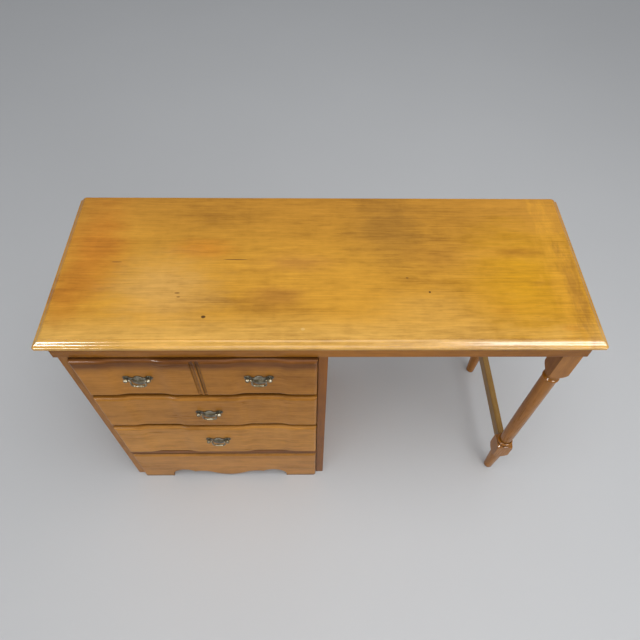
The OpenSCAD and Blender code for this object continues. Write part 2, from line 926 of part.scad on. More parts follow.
// Hanging bail: pins in the balls, elbows, straight sides, round corners and a thick grip
module pull_bail(k)
    color(brass)
        at_pull(pull_seat[k])
            translate([0, -axis_out, 0])
                rotate([90, 0, 0]) {
                    for (side = [0, 1])
                        mirror([side, 0, 0]) {
                            translate([bail_end_x, 0, 0])
                                rotate([0, 90, 0])
                                    cylinder(r = pin_r, h = ball_r);
                            translate([bail_end_x, -bail_elbow, 0])
                                rotate([0, 0, 90])
                                    rotate_extrude(angle = 90)
                                        translate([bail_elbow, 0])
                                            circle(bail_r);
                            translate([bail_x, -bail_elbow, 0])
                                rotate([90, 0, 0])
                                    cylinder(r = bail_r, h = bail_drop - bail_elbow - bail_corner);
                            translate([grip_half, bail_corner - bail_drop, 0])
                                rotate([0, 0, -90])
                                    rotate_extrude(angle = 90)
                                        translate([bail_corner, 0])
                                            circle(bail_r);
                        }
                    translate([-grip_half, -bail_drop, 0])
                        rotate([0, 90, 0])
                            cylinder(r = bail_r, h = 2 * grip_half);
                    translate([0, -bail_drop, 0])
                        rotate([0, 90, 0])
                            grip(grip_half, shoulder_r(grip_half, grip_r - bail_r));
                }

// Lens-shaped swelling about the grip's own axis
module grip(half, r)
    rotate_extrude()
        intersection() {
            translate([grip_r - r, 0])
                circle(r, $fn = 180);
            translate([0, -half])
                square([grip_r, 2 * half]);
        }

// Half profile of a shoulder that narrows from past the block's corners down to r_end
module shoulder(length, r_end) {
    r = shoulder_r(length, corner_r + cut - r_end);
    intersection() {
        translate([corner_r + cut - r, 0])
            circle(r);
        translate([0, -length])
            square([corner_r + cut, length]);
    }
}

// Half profile of a bead of radius r, rounded over its outer d, that stands on height 0
module bead(r, d, t) {
    square([r - d, t]);
    intersection() {
        translate([r - shoulder_r(t / 2, d), t / 2])
            circle(shoulder_r(t / 2, d));
        square([r, t]);
    }
}

// Half profile of a hollow of depth d and length h, with radius r at its middle
module cove(r, d, h)
    difference() {
        square([r + d, h]);
        translate([r + shoulder_r(h / 2, d), h / 2])
            circle(shoulder_r(h / 2, d));
    }

// Shaft that swells in its lower half
module shaft_profile() {
    from = lower_bead_z;
    to = upper_bead_z;
    steps = 14;
    function shaft_point(u) = [
        shaft_foot_r + u * (shaft_top_r - shaft_foot_r) + shaft_swell * sin(180 * pow(u, 0.6)),
        from + u * (to - from)
    ];
    polygon(concat(
        [[0, from]],
        [for (i = [0 : steps]) shaft_point(i / steps)],
        [[0, to]]
    ));
}

module foot_profile() {
    toe = foot_end_r / 4;
    polygon([
        [0, 0], [foot_end_r - toe, 0], [foot_end_r, toe], [foot_top_r, foot_z - toe],
        [foot_top_r, foot_z], [0, foot_z]
    ]);
}

// Square blocks cut by the turned shoulders
module leg_blocks()
    intersection() {
        translate([-leg_w / 2, -leg_w / 2, 0])
            cube([leg_w, leg_w, case_h]);
        rotate_extrude() {
            translate([0, block_z])
                square([corner_r + cut, block_len]);
            translate([0, block_z])
                shoulder(upper_shoulder, upper_bead_r - upper_bead_d + turn_step);
            translate([0, lower_shoulder_z])
                mirror([0, 1])
                    shoulder(top_shoulder, lower_bead_r - turn_step);
            translate([0, lower_block_z])
                square([corner_r + cut, lower_block]);
            translate([0, lower_block_z])
                shoulder(foot_shoulder, foot_top_r + turn_step);
        }
    }

module leg_turning()
    rotate_extrude() {
        foot_profile();
        translate([0, lower_bead_z - lower_bead_t])
            bead(lower_bead_r, lower_bead_d, lower_bead_t);
        shaft_profile();
        for (z = [upper_bead_z, upper_neck_z - upper_bead_t])
            translate([0, z])
                bead(upper_bead_r, upper_bead_d, upper_bead_t);
        translate([0, upper_bead_z + upper_bead_t])
            cove(neck_turn_r, neck_turn_d, neck_turn_h);
    }

module leg(y)
    color(maple)
        difference() {
            translate([leg_x, nose_y + y, 0]) {
                leg_blocks();
                leg_turning();
            }
            stretcher_tenons(hole_fit);
            end_apron_tenons(hole_fit);
            back_apron_tenon(hole_fit);
            at_leg_bolts()
                translate([0, 0, case_h - leg_bolt_in - hole_fit])
                    cylinder(r = leg_bolt_r + hole_fit, h = leg_bolt_in + cut);
        }

module front_leg() leg(leg_y[0]);
module rear_leg() leg(leg_y[1]);

between_legs = [leg_y[0] + leg_w / 2, leg_y[1] - leg_w / 2];
stretcher_x = [leg_x - stretcher_t / 2, leg_x + stretcher_t / 2];
stretcher_z = [stretcher_mid - stretcher_h / 2, stretcher_mid + stretcher_h / 2];
end_apron_x = [leg_out - leg_apron_in - leg_apron_t, leg_out - leg_apron_in];
back_apron_y = [case_y[1] - leg_apron_in - leg_apron_t, case_y[1] - leg_apron_in];
leg_apron_z = [case_h - leg_apron_h, case_h];

// A range made smaller by s at both ends
function within(range, s) = [range[0] + s, range[1] - s];

module stretcher_tenons(fit = 0)
    board(within(stretcher_x, tenon_shoulder - fit), within(between_legs, -tenon_len - fit),
        within(stretcher_z, tenon_shoulder - fit));

module end_apron_tenons(fit = 0)
    board(within(end_apron_x, tenon_shoulder - fit), within(between_legs, -tenon_len - fit),
        within(leg_apron_z, tenon_shoulder - fit));

module back_apron_tenon(fit = 0)
    board([case_x[1] + tenon_len, leg_out - leg_w + tenon_len / 2 + fit],
        within(back_apron_y, tenon_shoulder - fit), within(leg_apron_z, tenon_shoulder - fit));

module stretcher()
    color(maple) {
        along_y(between_legs)
            eased(stretcher_x, stretcher_z);
        stretcher_tenons();
    }

module end_apron()
    color(maple) {
        along_y(between_legs)
            eased(end_apron_x, leg_apron_z);
        end_apron_tenons();
    }

module back_apron()
    color(maple) {
        along_x([case_x[1], leg_out - leg_w])
            eased(back_apron_y, leg_apron_z);
        back_apron_tenon();
    }

module top_drawer_front() drawer_front(0);
module top_drawer_side_left() drawer_side_left(0);
module top_drawer_side_right() drawer_side_right(0);
module top_drawer_back() drawer_back(0);
module top_drawer_bottom() drawer_bottom(0);
module middle_drawer_front() drawer_front(1);
module middle_drawer_side_left() drawer_side_left(1);
module middle_drawer_side_right() drawer_side_right(1);
module middle_drawer_back() drawer_back(1);
module middle_drawer_bottom() drawer_bottom(1);
module bottom_drawer_front() drawer_front(2);
module bottom_drawer_side_left() drawer_side_left(2);
module bottom_drawer_side_right() drawer_side_right(2);
module bottom_drawer_back() drawer_back(2);
module bottom_drawer_bottom() drawer_bottom(2);
module top_left_pull_plate() pull_plate(0);
module top_left_pull_posts() pull_posts(0);
module top_left_pull_bail() pull_bail(0);
module top_right_pull_plate() pull_plate(1);
module top_right_pull_posts() pull_posts(1);
module top_right_pull_bail() pull_bail(1);
module middle_pull_plate() pull_plate(2);
module middle_pull_posts() pull_posts(2);
module middle_pull_bail() pull_bail(2);
module bottom_pull_plate() pull_plate(3);
module bottom_pull_posts() pull_posts(3);
module bottom_pull_bail() pull_bail(3);

desktop();
frieze_front_rail();
frieze_back_rail();
frieze_left_rail();
frieze_right_rail();
frieze_cross_rail();
corner_blocks();
top_screws();
leg_bolts();
side_panel_left();
side_panel_right();
stile_left();
stile_right();
back_panel();
drawer_rail_upper();
drawer_rail_middle();
drawer_rail_lower();
runners_upper();
runners_middle();
runners_lower();
web_back_rails();
kickers();
drawer_stops();
base_apron();
base_glue_blocks();
top_drawer_front();
top_drawer_side_left();
top_drawer_side_right();
top_drawer_back();
top_drawer_bottom();
middle_drawer_front();
middle_drawer_side_left();
middle_drawer_side_right();
middle_drawer_back();
middle_drawer_bottom();
bottom_drawer_front();
bottom_drawer_side_left();
bottom_drawer_side_right();
bottom_drawer_back();
bottom_drawer_bottom();
top_left_pull_plate();
top_left_pull_posts();
top_left_pull_bail();
top_right_pull_plate();
top_right_pull_posts();
top_right_pull_bail();
middle_pull_plate();
middle_pull_posts();
middle_pull_bail();
bottom_pull_plate();
bottom_pull_posts();
bottom_pull_bail();
front_leg();
rear_leg();
stretcher();
end_apron();
back_apron();
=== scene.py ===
"""A maple kneehole desk: its lacquered wood, its aged brass pulls and the studio it stands in.

The desk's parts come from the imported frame. This file gives each part its finish, drives the brads
that hold the thin panels, and sets the floor, the lamps and the camera.
"""

import math

import bpy
from bpy.props import FloatProperty, FloatVectorProperty, IntProperty, PointerProperty
from mathutils import Matrix, Vector


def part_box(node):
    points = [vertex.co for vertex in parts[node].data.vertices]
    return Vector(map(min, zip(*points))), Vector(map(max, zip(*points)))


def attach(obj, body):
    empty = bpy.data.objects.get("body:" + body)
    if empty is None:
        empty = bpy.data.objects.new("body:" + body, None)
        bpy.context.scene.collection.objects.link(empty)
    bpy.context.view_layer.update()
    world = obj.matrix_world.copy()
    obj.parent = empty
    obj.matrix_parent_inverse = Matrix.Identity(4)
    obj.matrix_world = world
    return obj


bl_info = {
    "name": "Kneehole Desk",
    "version": (1, 0, 0),
    "blender": (4, 5, 0),
    "location": "View3D > Sidebar > Desk",
    "description": "Finishes a maple kneehole desk and sets it in a plain studio",
    "category": "Object",
}

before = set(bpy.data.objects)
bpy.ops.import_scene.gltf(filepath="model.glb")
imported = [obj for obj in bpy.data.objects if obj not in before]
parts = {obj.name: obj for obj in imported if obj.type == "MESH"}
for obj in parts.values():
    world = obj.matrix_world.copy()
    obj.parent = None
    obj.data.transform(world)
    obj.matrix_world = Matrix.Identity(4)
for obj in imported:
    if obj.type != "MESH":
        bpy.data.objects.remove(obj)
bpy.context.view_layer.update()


def tone(red, green, blue):
    """A colour as it looks on a screen, 0 to 255, as the linear values that the shaders take."""
    linear = []
    for level in (red, green, blue):
        level /= 255
        linear.append(level / 12.92 if level <= 0.04045 else ((level + 0.055) / 1.055) ** 2.4)
    return tuple(linear)


def shaded(colour, factor):
    """The same colour made darker or lighter."""
    return tuple(level * factor for level in colour)


# Share of the red, the green and the blue that one coat of stain leaves
STAIN_KEEPS = (0.85, 0.8, 0.65)


def stained(colour, coats):
    """The colour under more coats of stain, darker and warmer, or under fewer."""
    return tuple(level * kept ** coats for level, kept in zip(colour, STAIN_KEEPS))


# Node trees

# Sockets of a Mix node for colours, by number, since its other kinds use the same names
MIX_SHARE, MIX_UNDER, MIX_OVER, MIX_RESULT = 0, 6, 7, 2


class Reading:
    """What one socket gives. Sums on it add Math nodes to its tree."""

    def __init__(self, tree, socket):
        self.tree, self.socket = tree, socket

    def math(self, operation, *terms):
        return add_node(self.tree, "ShaderNodeMath", {"operation": operation}, dict(enumerate(terms)))

    def __add__(self, other):
        return self.math("ADD", self, other)

    def __sub__(self, other):
        return self.math("SUBTRACT", self, other)

    def __rsub__(self, other):
        return self.math("SUBTRACT", other, self)

    def __mul__(self, other):
        return self.math("MULTIPLY", self, other)

    def __pow__(self, other):
        return self.math("POWER", self, other)

    __radd__ = __add__
    __rmul__ = __mul__


def add_node(tree, kind, settings=None, values=None, output=0):
    """Adds one node, with its settings and the values or links of its sockets. Gives one output."""
    node = tree.nodes.new(kind)
    for name, setting in (settings or {}).items():
        if name == "stops":
            ramp = node.color_ramp
            while len(ramp.elements) < len(setting):
                ramp.elements.new(0.5)
            for element, (place, colour) in zip(ramp.elements, setting):
                element.position = place
                element.color = (*colour, 1)
        else:
            setattr(node, name, setting)
    for name, value in (values or {}).items():
        socket = node.inputs[name]
        if isinstance(value, Reading):
            tree.links.new(value.socket, socket)
        elif socket.type == "RGBA":
            socket.default_value = (*value, 1)
        else:
            socket.default_value = value
    return Reading(tree, node.outputs[output])


class Finish:
    """One material, and the plain steps that its pattern is made of."""

    def __init__(self, name):
        self.material = bpy.data.materials.new(name)
        self.material.use_nodes = True
        self.tree = self.material.node_tree
        self.tree.nodes.clear()
        self.place = self.add("ShaderNodeTexCoord", output="Object")

    def add(self, kind, settings=None, values=None, output=0):
        return add_node(self.tree, kind, settings, values, output)

    def vector(self, operation, *terms, output=0):
        return self.add("ShaderNodeVectorMath", {"operation": operation}, dict(enumerate(terms)), output)

    def stretched(self, place, along, across):
        return self.vector("MULTIPLY", place, (along, across, across))

    def noise(self, place, detail=2.0, rough=0.5, output=0):
        return self.add("ShaderNodeTexNoise", None, {
            "Vector": place, "Scale": 1.0, "Detail": detail, "Roughness": rough}, output)

    def rise(self, reading, low, high, start=0.0, end=1.0):
        """Goes smoothly from start to end as the reading goes from low to high."""
        return self.add("ShaderNodeMapRange", {"interpolation_type": "SMOOTHSTEP"}, {
            "Value": reading, "From Min": low, "From Max": high, "To Min": start, "To Max": end})

    def blend(self, share, under, over):
        """Lays one colour over another."""
        settings = {"data_type": "RGBA", "blend_type": "MIX", "clamp_factor": True}
        return self.add("ShaderNodeMix", settings, {
            MIX_SHARE: share, MIX_UNDER: under, MIX_OVER: over}, output=MIX_RESULT)

    def ramp(self, reading, *stops):
        return self.add("ShaderNodeValToRGB", {"stops": stops}, {"Fac": reading})

    def soften_arrises(self, radius):
        """The softened normal at the arrises, and how near a point is to one."""
        soft = self.add("ShaderNodeBevel", {"samples": 4}, {"Radius": radius})
        flat = self.add("ShaderNodeNewGeometry", output="Normal")
        facing = self.vector("DOT_PRODUCT", soft, flat, output=1)
        return soft, self.rise(1 - facing, 0.01, 0.12)

    def hollows(self, reach, own=True):
        """How deep a point lies in a groove or a corner, of its own part or between parts too."""
        open_share = self.add("ShaderNodeAmbientOcclusion", {"samples": 6, "only_local": own}, {
            "Distance": reach}, output="AO")
        return self.rise(open_share, 0.95, 0.4)

    def patch(self, wood, ragged, where, half, colour, share, edge=(0.15, 1.5)):
        """Lays a patch of colour round one place on the top, soft and ragged at its rim."""
        near = self.vector("MULTIPLY", self.vector("SUBTRACT", self.place, (*where, 0.0)),
                           (1 / half[0], 1 / half[1], 0.0))
        away = self.vector("LENGTH", near, output=1) + ragged
        return self.blend(self.rise(away, *edge, share, 0.0), wood, colour)

    def relief(self, height, soft, depth, strength):
        """The normal of a fine relief on a surface with softened arrises."""
        return self.add("ShaderNodeBump", None, {
            "Strength": strength, "Distance": depth, "Height": height, "Normal": soft})

    def surface(self, **sockets):
        """Ends the finish in one shader."""
        values = {}
        for name, value in sockets.items():
            values[name.replace("_", " ").title().replace("Ior", "IOR")] = value
        shader = self.add("ShaderNodeBsdfPrincipled", None, values)
        output = self.tree.nodes.new("ShaderNodeOutputMaterial")
        self.tree.links.new(shader.socket, output.inputs["Surface"])
        return self.material


# Finishes

# What gathers in corners, and painted shade in corners, in gaps and between parts
GRIME_AND_SHADE = tone(38, 20, 8)
# The darker, redder band along the upper edge of the top drawer: its depth below that edge, its colour
# and how much it covers
BAND_DEPTH, BAND_COLOUR, BAND_SHARE = 0.045, tone(96, 52, 26), 0.75
# Distance between the rings in the peeled veneer of plywood
PLY_RING = 0.03
# How strongly the layers of a board's figure and its rings shade the wood, lacquered and bare
LACQUERED_FIGURE = {
    "broad": 0.55, "cloud": 0.75, "streak": 0.5, "fleck": 0.5, "mottle": 0.5, "fine": 0.6, "curl": 0.12,
}
LACQUERED_RINGS = 0.05
BARE_FIGURE = {"cloud": 0.6, "streak": 0.8, "fine": 0.5}
BARE_RINGS = 0.16
# The turn that lays the figure's length along x, y or z
GRAIN_TURN = {"x": (0, 0, 0), "y": (0, 0, math.radians(-90)), "z": (0, math.radians(90), 0)}


class Board:
    """The figure of one maple board, with its grain along x, y or z."""

    def __init__(self, finish, grain, seed, ring=0.011):
        spot = (0.37 * seed % 7, 0.83 * seed % 5, 0.59 * seed % 3)
        turned = finish.add("ShaderNodeMapping", None, {
            "Vector": finish.place, "Rotation": GRAIN_TURN[grain], "Location": spot})
        wander = finish.noise(finish.stretched(turned, 1.3, 3.5), 1.5, output="Color")
        lines = finish.vector("MULTIPLY_ADD", wander, (0.0, 0.05, 0.05), turned)
        self.broad = finish.noise(finish.stretched(turned, 1.1, 2.6), 1.0)
        self.cloud = finish.noise(finish.stretched(turned, 3.4, 9.0), 3.0, 0.55)
        self.streak = finish.noise(finish.stretched(lines, 1.8, 52.0), 4.0, 0.62)
        self.fleck = finish.noise(finish.stretched(lines, 26.0, 120.0), 3.0, 0.65)
        self.mottle = finish.noise(finish.stretched(turned, 16.0, 34.0), 3.0, 0.6)
        self.fine = finish.noise(finish.stretched(lines, 8.0, 300.0), 3.0, 0.6)
        self.fibre = finish.noise(finish.stretched(lines, 60.0, 1500.0), 1.0)
        self.curl = finish.noise(finish.stretched(lines, 70.0, 13.0), 2.0)
        # The heart of the tree lies beside the board, so that its rings cross the face
        aside, below = 0.21, 0.09
        heart = finish.vector(
            "ADD", finish.stretched(lines, 0.05, 1.0), (0.0, aside - spot[1], below - spot[2]))
        radius = finish.vector("LENGTH", heart, output=1)
        wobble = finish.noise(finish.stretched(lines, 2.0, 14.0)) * 7
        turn = (radius * (2 * math.pi / ring) + wobble).math("SINE")
        self.rings = finish.rise(turn, 0.2, 1.0)
        dashes = finish.rise(finish.noise(finish.stretched(lines, 13.0, 280.0)), 0.69, 0.76)
        self.dashes = dashes * finish.rise(finish.noise(finish.stretched(turned, 3.0, 8.0)), 0.46, 0.6)

    def shade(self, layers, rings, figure=1.0):
        """The whole figure as one reading round 0.5, darker below it and lighter above."""
        shade = 0.5
        for name, weight in layers.items():
            shade = shade + (getattr(self, name) - 0.5) * (weight * figure)
        return shade - self.rings * (rings * figure)


def maple(
        name, grain, seed, colour, gloss, figure=0.7, coat=0.3, reach=0.018, grime_and_shade=0.9, stains_and_painted_light=None):
    """Maple under amber stain and lacquer: soft clouds, fine streaks, faint rings and dark dashes."""
    finish = Finish(name)
    board = Board(finish, grain, seed)
    shade = board.shade(LACQUERED_FIGURE, LACQUERED_RINGS, figure)
    wood = stains_and_painted_light(finish, board, colour) if stains_and_painted_light else colour
    shadow = finish.ramp(shade, (0.22, (0.6, 0.54, 0.42)), (0.5, (1.0, 1.0, 1.0)))
    light = finish.ramp(shade, (0.5, (0.0, 0.0, 0.0)), (0.78, (0.3, 0.33, 0.5)))
    wood = finish.vector("MULTIPLY", wood, finish.vector("ADD", shadow, light))
    wood = finish.blend(board.dashes * 0.4, wood, shaded(colour, 0.3))
    soft, edge = finish.soften_arrises(radius=0.0016)
    # Lighter arrises: wear, and a painted highlight where light catches the edge
    rubbed = finish.rise(board.cloud + board.streak * 0.4, 0.55, 0.85)
    wood = finish.blend(edge * (0.25 + rubbed * 0.45), wood, shaded(colour, 1.6))
    # Darker in corners, grooves and gaps, in the part and between parts: grime, and painted shade where
    # parts shade each other
    wood = finish.blend(finish.hollows(reach, own=False) * grime_and_shade, wood, GRIME_AND_SHADE)
    height = board.streak * 0.5 + board.fine * 0.3 + board.fibre * 0.2
    return finish.surface(
        base_color=wood,
        roughness=gloss + (board.cloud - 0.5) * 0.12 + (board.fine - 0.5) * 0.1 + edge * 0.08,
        specular_ior_level=0.06,
        coat_weight=coat,
        coat_roughness=0.09,
        normal=finish.relief(height, soft, depth=0.0003, strength=0.2),
    )


# The top's colour towards its back, a painted shade, and towards its front, a painted sheen
TOP_BACK, TOP_FRONT = tone(172, 114, 32), tone(224, 176, 92)
# Where the top's colour is uneven: place, half length and half width, colour, and how much it covers.
# The two pale cream patches are painted sheen, the rest is stain
TOP_CLOUDS = (
    ((-0.53, 0.05), (0.075, 0.17), tone(190, 118, 26), 0.9),
    ((-0.57, -0.09), (0.04, 0.06), tone(190, 118, 26), 0.6),
    ((-0.28, 0.06), (0.07, 0.03), tone(205, 132, 34), 0.75),
    # A pale patch of painted sheen
    ((-0.36, -0.06), (0.12, 0.10), tone(214, 164, 86), 0.7),
    ((-0.10, -0.08), (0.07, 0.035), tone(168, 112, 38), 0.75),
    ((-0.06, 0.02), (0.09, 0.03), tone(174, 118, 46), 0.65),
    ((0.16, 0.115), (0.09, 0.10), tone(156, 108, 36), 0.6),
    ((0.28, 0.04), (0.09, 0.045), tone(170, 116, 36), 0.6),
    # A pale patch of painted sheen
    ((0.24, -0.12), (0.13, 0.05), tone(212, 160, 72), 0.55),
    ((0.47, -0.03), (0.13, 0.16), tone(206, 148, 12), 0.85),
    ((0.46, 0.05), (0.08, 0.02), tone(160, 104, 20), 0.7),
    ((0.40, -0.12), (0.03, 0.01), tone(184, 122, 26), 0.35),
    ((0.535, -0.165), (0.022, 0.008), tone(186, 116, 26), 0.5),
)
# The streaks at the top's right end, the light ones and the dark ones, given in the same way
END_STREAKS = (
    ((0.555, -0.02), (0.04, 0.2), tone(220, 158, 44), 0.6),
    ((0.575, -0.07), (0.02, 0.12), tone(150, 98, 36), 0.5),
)
# Small marks of use, given in the same way
TOP_MARKS = (
    ((-0.257, -0.136), (0.0055, 0.004), tone(70, 42, 14), 0.9),
    ((-0.322, -0.071), (0.006, 0.002), tone(112, 72, 26), 0.8),
    ((-0.318, -0.082), (0.004, 0.002), tone(120, 78, 28), 0.7),
    ((-0.473, 0.020), (0.013, 0.0018), tone(128, 86, 34), 0.7),
    ((-0.201, 0.028), (0.03, 0.0016), tone(104, 68, 28), 0.75),
    ((0.242, -0.068), (0.003, 0.003), tone(72, 44, 18), 0.9),
    ((0.195, -0.027), (0.0035, 0.002), tone(96, 62, 24), 0.7),
    ((-0.042, -0.168), (0.005, 0.0035), tone(226, 190, 120), 0.5),
)


def top_stains_shade_and_sheen(finish, board, wood):
    """The top's uneven stain, orange at the ends, with its marks, and its painted light: darker at the
    back as painted shade, paler in front and in two patches as painted sheen.
    """
    ragged = (board.cloud - 0.5) * 1.2 + (board.streak - 0.5) * 0.7 + (board.mottle - 0.5) * 1.0
    depth = finish.add("ShaderNodeSeparateXYZ", None, {0: finish.place}, output="Y")
    # Painted shade towards the back and painted sheen towards the front
    wood = finish.blend(finish.rise(depth + ragged * 0.05, -0.02, 0.24) * 0.5, wood, TOP_BACK)
    wood = finish.blend(finish.rise(depth + ragged * 0.02, -0.11, -0.19) * 0.55, wood, TOP_FRONT)
    for cloud in TOP_CLOUDS:
        wood = finish.patch(wood, ragged, *cloud)
    blotch = finish.noise(finish.vector("MULTIPLY", finish.place, (60.0, 16.0, 9.0)), 4.0, 0.65)
    streaks = (blotch - 0.5) * 3.4 + (board.mottle - 0.5) * 1.5
    light, dark = END_STREAKS
    wood = finish.patch(wood, streaks, *light)
    wood = finish.patch(wood, streaks * -1.0, *dark)
    for mark in TOP_MARKS:
        wood = finish.patch(wood, (board.fine - 0.5) * 0.8, *mark, edge=(0.7, 1.1))
    return wood


def upper_edge_band(finish, board, wood):
    """A darker, redder band that lies along the upper edge of the top drawer and fades downwards."""
    height = finish.add("ShaderNodeSeparateXYZ", None, {0: finish.place}, output="Z")
    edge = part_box("top_drawer_front")[1][2]
    band = finish.rise(height + (board.cloud - 0.5) * 0.02, edge - BAND_DEPTH, edge - BAND_DEPTH / 3)
    return finish.blend(band * BAND_SHARE, wood, BAND_COLOUR)


def bare_wood(name, grain, seed, colour, ring=0.009):
    """Wood that was never finished, inside and underneath: pale, dry and a little dusty."""
    finish = Finish(name)
    board = Board(finish, grain, seed, ring)
    shade = board.shade(BARE_FIGURE, BARE_RINGS)
    deep, pale = shaded(colour, 0.68), shaded(colour, 1.2)
    wood = finish.ramp(shade, (0.22, deep), (0.5, colour), (0.78, pale))
    wood = finish.blend(board.dashes * 0.5, wood, shaded(colour, 0.35))
    soft, edge = finish.soften_arrises(radius=0.0012)
    wood = finish.blend(edge * 0.3, wood, shaded(colour, 0.62))
    dust = finish.rise(board.broad + board.fine * 0.3, 0.55, 0.9)
    wood = finish.blend(dust * 0.22, wood, tone(176, 166, 148))
    # Painted shade in the part's own corners and grooves
    wood = finish.blend(finish.hollows(reach=0.02) * 0.5, wood, shaded(colour, 0.35))
    return finish.surface(
        base_color=wood,
        roughness=0.62 + board.fine * 0.22,
        normal=finish.relief(board.fine * 0.6 + board.fibre * 0.4, soft, depth=0.0005, strength=0.45),
    )


def aged_brass(name, seed, bright, dark):
    """Cast brass under old brown lacquer, rubbed bright on what stands proud."""
    finish = Finish(name)
    here = finish.vector("ADD", finish.place, (0.13 * seed, 0.29 * seed, 0.07 * seed))
    cloud = finish.noise(finish.stretched(here, 90.0, 90.0), 4.0, 0.6)
    specks = finish.noise(finish.stretched(here, 900.0, 900.0), 2.0)
    soft, edge = finish.soften_arrises(radius=0.0006)
    deep = finish.hollows(reach=0.005, own=False)
    rub = finish.rise(cloud + edge * 0.45 - deep * 0.5, 0.36, 0.74)
    metal = finish.blend(rub, dark, bright)
    metal = finish.blend(deep * 0.9, metal, shaded(dark, 0.2))
    metal = finish.blend(finish.rise(specks, 0.62, 0.72) * 0.5, metal, shaded(dark, 0.5))
    return finish.surface(
        base_color=metal,
        metallic=1.0 - deep * 0.4,
        roughness=0.56 - rub * 0.14 + specks * 0.1,
        coat_weight=1.0,
        coat_roughness=0.1,
        normal=finish.relief(specks * 0.5 + cloud, soft, depth=0.0002, strength=0.3),
    )


def plated_steel(name, seed):
    """Zinc-plated steel, a little dulled."""
    finish = Finish(name)
    here = finish.vector("ADD", finish.place, (0.31 * seed, 0.11 * seed, 0.17 * seed))
    cloud = finish.noise(finish.stretched(here, 150.0, 150.0), 4.0, 0.6)
    turning = finish.noise(finish.vector("MULTIPLY", here, (200.0, 200.0, 2200.0)), 2.0)
    soft, edge = finish.soften_arrises(radius=0.0004)
    zinc = finish.blend(finish.rise(cloud, 0.35, 0.65), tone(126, 124, 118), tone(184, 184, 180))
    zinc = finish.blend(finish.hollows(reach=0.003) * 0.7, zinc, tone(60, 52, 44))
    zinc = finish.blend(finish.rise(cloud, 0.66, 0.74) * 0.5, zinc, tone(134, 92, 62))
    return finish.surface(
        base_color=finish.blend(edge * 0.4, zinc, tone(212, 212, 208)),
        metallic=0.95 - finish.rise(cloud, 0.66, 0.74) * 0.4,
        roughness=0.32 + cloud * 0.24,
        normal=finish.relief(turning, soft, depth=0.0002, strength=0.2),
    )


# What the tree of the brads is given
BRAD_INPUTS = {
    "Rows": "Geometry", "Head": "Float", "Spacing": "Float", "Facing": "Vector", "Seed": "Int",
    "Finish": "Material",
}
# Height of a brad's dome over its half width, how far it may lean, and its smallest and largest girth
BRAD_DOME, BRAD_LEAN, BRAD_GIRTH = 0.35, 0.12, (0.88, 1.08)


def brad_rows():
    """A tree that sets small domed heads along the edges of a mesh, uneven as hand-driven brads are."""
    tree = bpy.data.node_groups.new("brad_rows", "GeometryNodeTree")
    for name, kind in BRAD_INPUTS.items():
        tree.interface.new_socket(name, in_out="INPUT", socket_type="NodeSocket" + kind)
    tree.interface.new_socket("Brads", in_out="OUTPUT", socket_type="NodeSocketGeometry")
    given = {socket.name: Reading(tree, socket) for socket in tree.nodes.new("NodeGroupInput").outputs}
    rows = add_node(tree, "GeometryNodeMeshToCurve", None, {"Mesh": given["Rows"]})
    places = add_node(tree, "GeometryNodeResampleCurve", {"mode": "LENGTH"}, {
        "Curve": rows, "Length": given["Spacing"]})
    ball = add_node(tree, "GeometryNodeMeshUVSphere", None, {
        "Segments": 10, "Rings": 5, "Radius": given["Head"] * 0.5})
    head = add_node(tree, "GeometryNodeTransform", None, {
        "Geometry": ball, "Scale": (1.0, 1.0, BRAD_DOME)})
    lean = add_node(tree, "FunctionNodeRandomValue", {"data_type": "FLOAT_VECTOR"}, {
        0: (-BRAD_LEAN,) * 3, 1: (BRAD_LEAN,) * 3, "Seed": given["Seed"]})
    facing = add_node(tree, "ShaderNodeVectorMath", {"operation": "ADD"}, {
        0: given["Facing"], 1: lean})
    turn = add_node(tree, "FunctionNodeAlignRotationToVector", {"axis": "Z"}, {"Vector": facing})
    girth = add_node(tree, "FunctionNodeRandomValue", {"data_type": "FLOAT"}, {
        2: BRAD_GIRTH[0], 3: BRAD_GIRTH[1], "Seed": given["Seed"]}, output=1)
    driven = add_node(tree, "GeometryNodeInstanceOnPoints", None, {
        "Points": places, "Instance": head, "Rotation": turn, "Scale": girth})
    real = add_node(tree, "GeometryNodeRealizeInstances", None, {"Geometry": driven})
    finished = add_node(tree, "GeometryNodeSetMaterial", None, {
        "Geometry": real, "Material": given["Finish"]})
    output = tree.nodes.new("NodeGroupOutput")
    tree.links.new(finished.socket, output.inputs["Brads"])
    return tree


def drive_brads(tree, name, body, rows, facing, metal, material):
    """Drives brads along rows, each given by its two ends, and leaves one plain mesh on a body."""
    guide = bpy.data.meshes.new(name + "_rows")
    ends = [end for row in rows for end in row]
    guide.from_pydata(ends, [(2 * row, 2 * row + 1) for row in range(len(rows))], [])
    marking = bpy.data.objects.new(name + "_rows", guide)
    bpy.context.scene.collection.objects.link(marking)
    brads = marking.modifiers.new("brads", "NODES")
    brads.node_group = tree
    inputs = {item.name: item.identifier for item in tree.interface.items_tree if item.in_out == "INPUT"}
    for setting, value in (
            ("Head", metal.brad_head), ("Spacing", metal.brad_step), ("Facing", facing),
            ("Seed", metal.brad_seed), ("Finish", material)):
        brads[inputs[setting]] = value
    bpy.context.view_layer.update()
    seen = marking.evaluated_get(bpy.context.evaluated_depsgraph_get())
    piece = bpy.data.objects.new(name, bpy.data.meshes.new_from_object(seen))
    if not piece.data.polygons:
        raise RuntimeError(f"{name} came out empty")
    bpy.context.scene.collection.objects.link(piece)
    bpy.data.objects.remove(marking)
    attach(piece, body)


def dress(name, material):
    """Gives a part of the frame its finish, with its shape and place left as they are."""
    if name not in parts:
        raise RuntimeError(f"the frame has no part named {name}")
    slots = parts[name].material_slots
    if not slots:
        parts[name].data.materials.append(material)
    for slot in slots:
        slot.material = material


# Settings


def colour_setting(name, description, default):
    return FloatVectorProperty(
        name=name, description=description, subtype="COLOR", size=3, min=0, max=1, default=default)


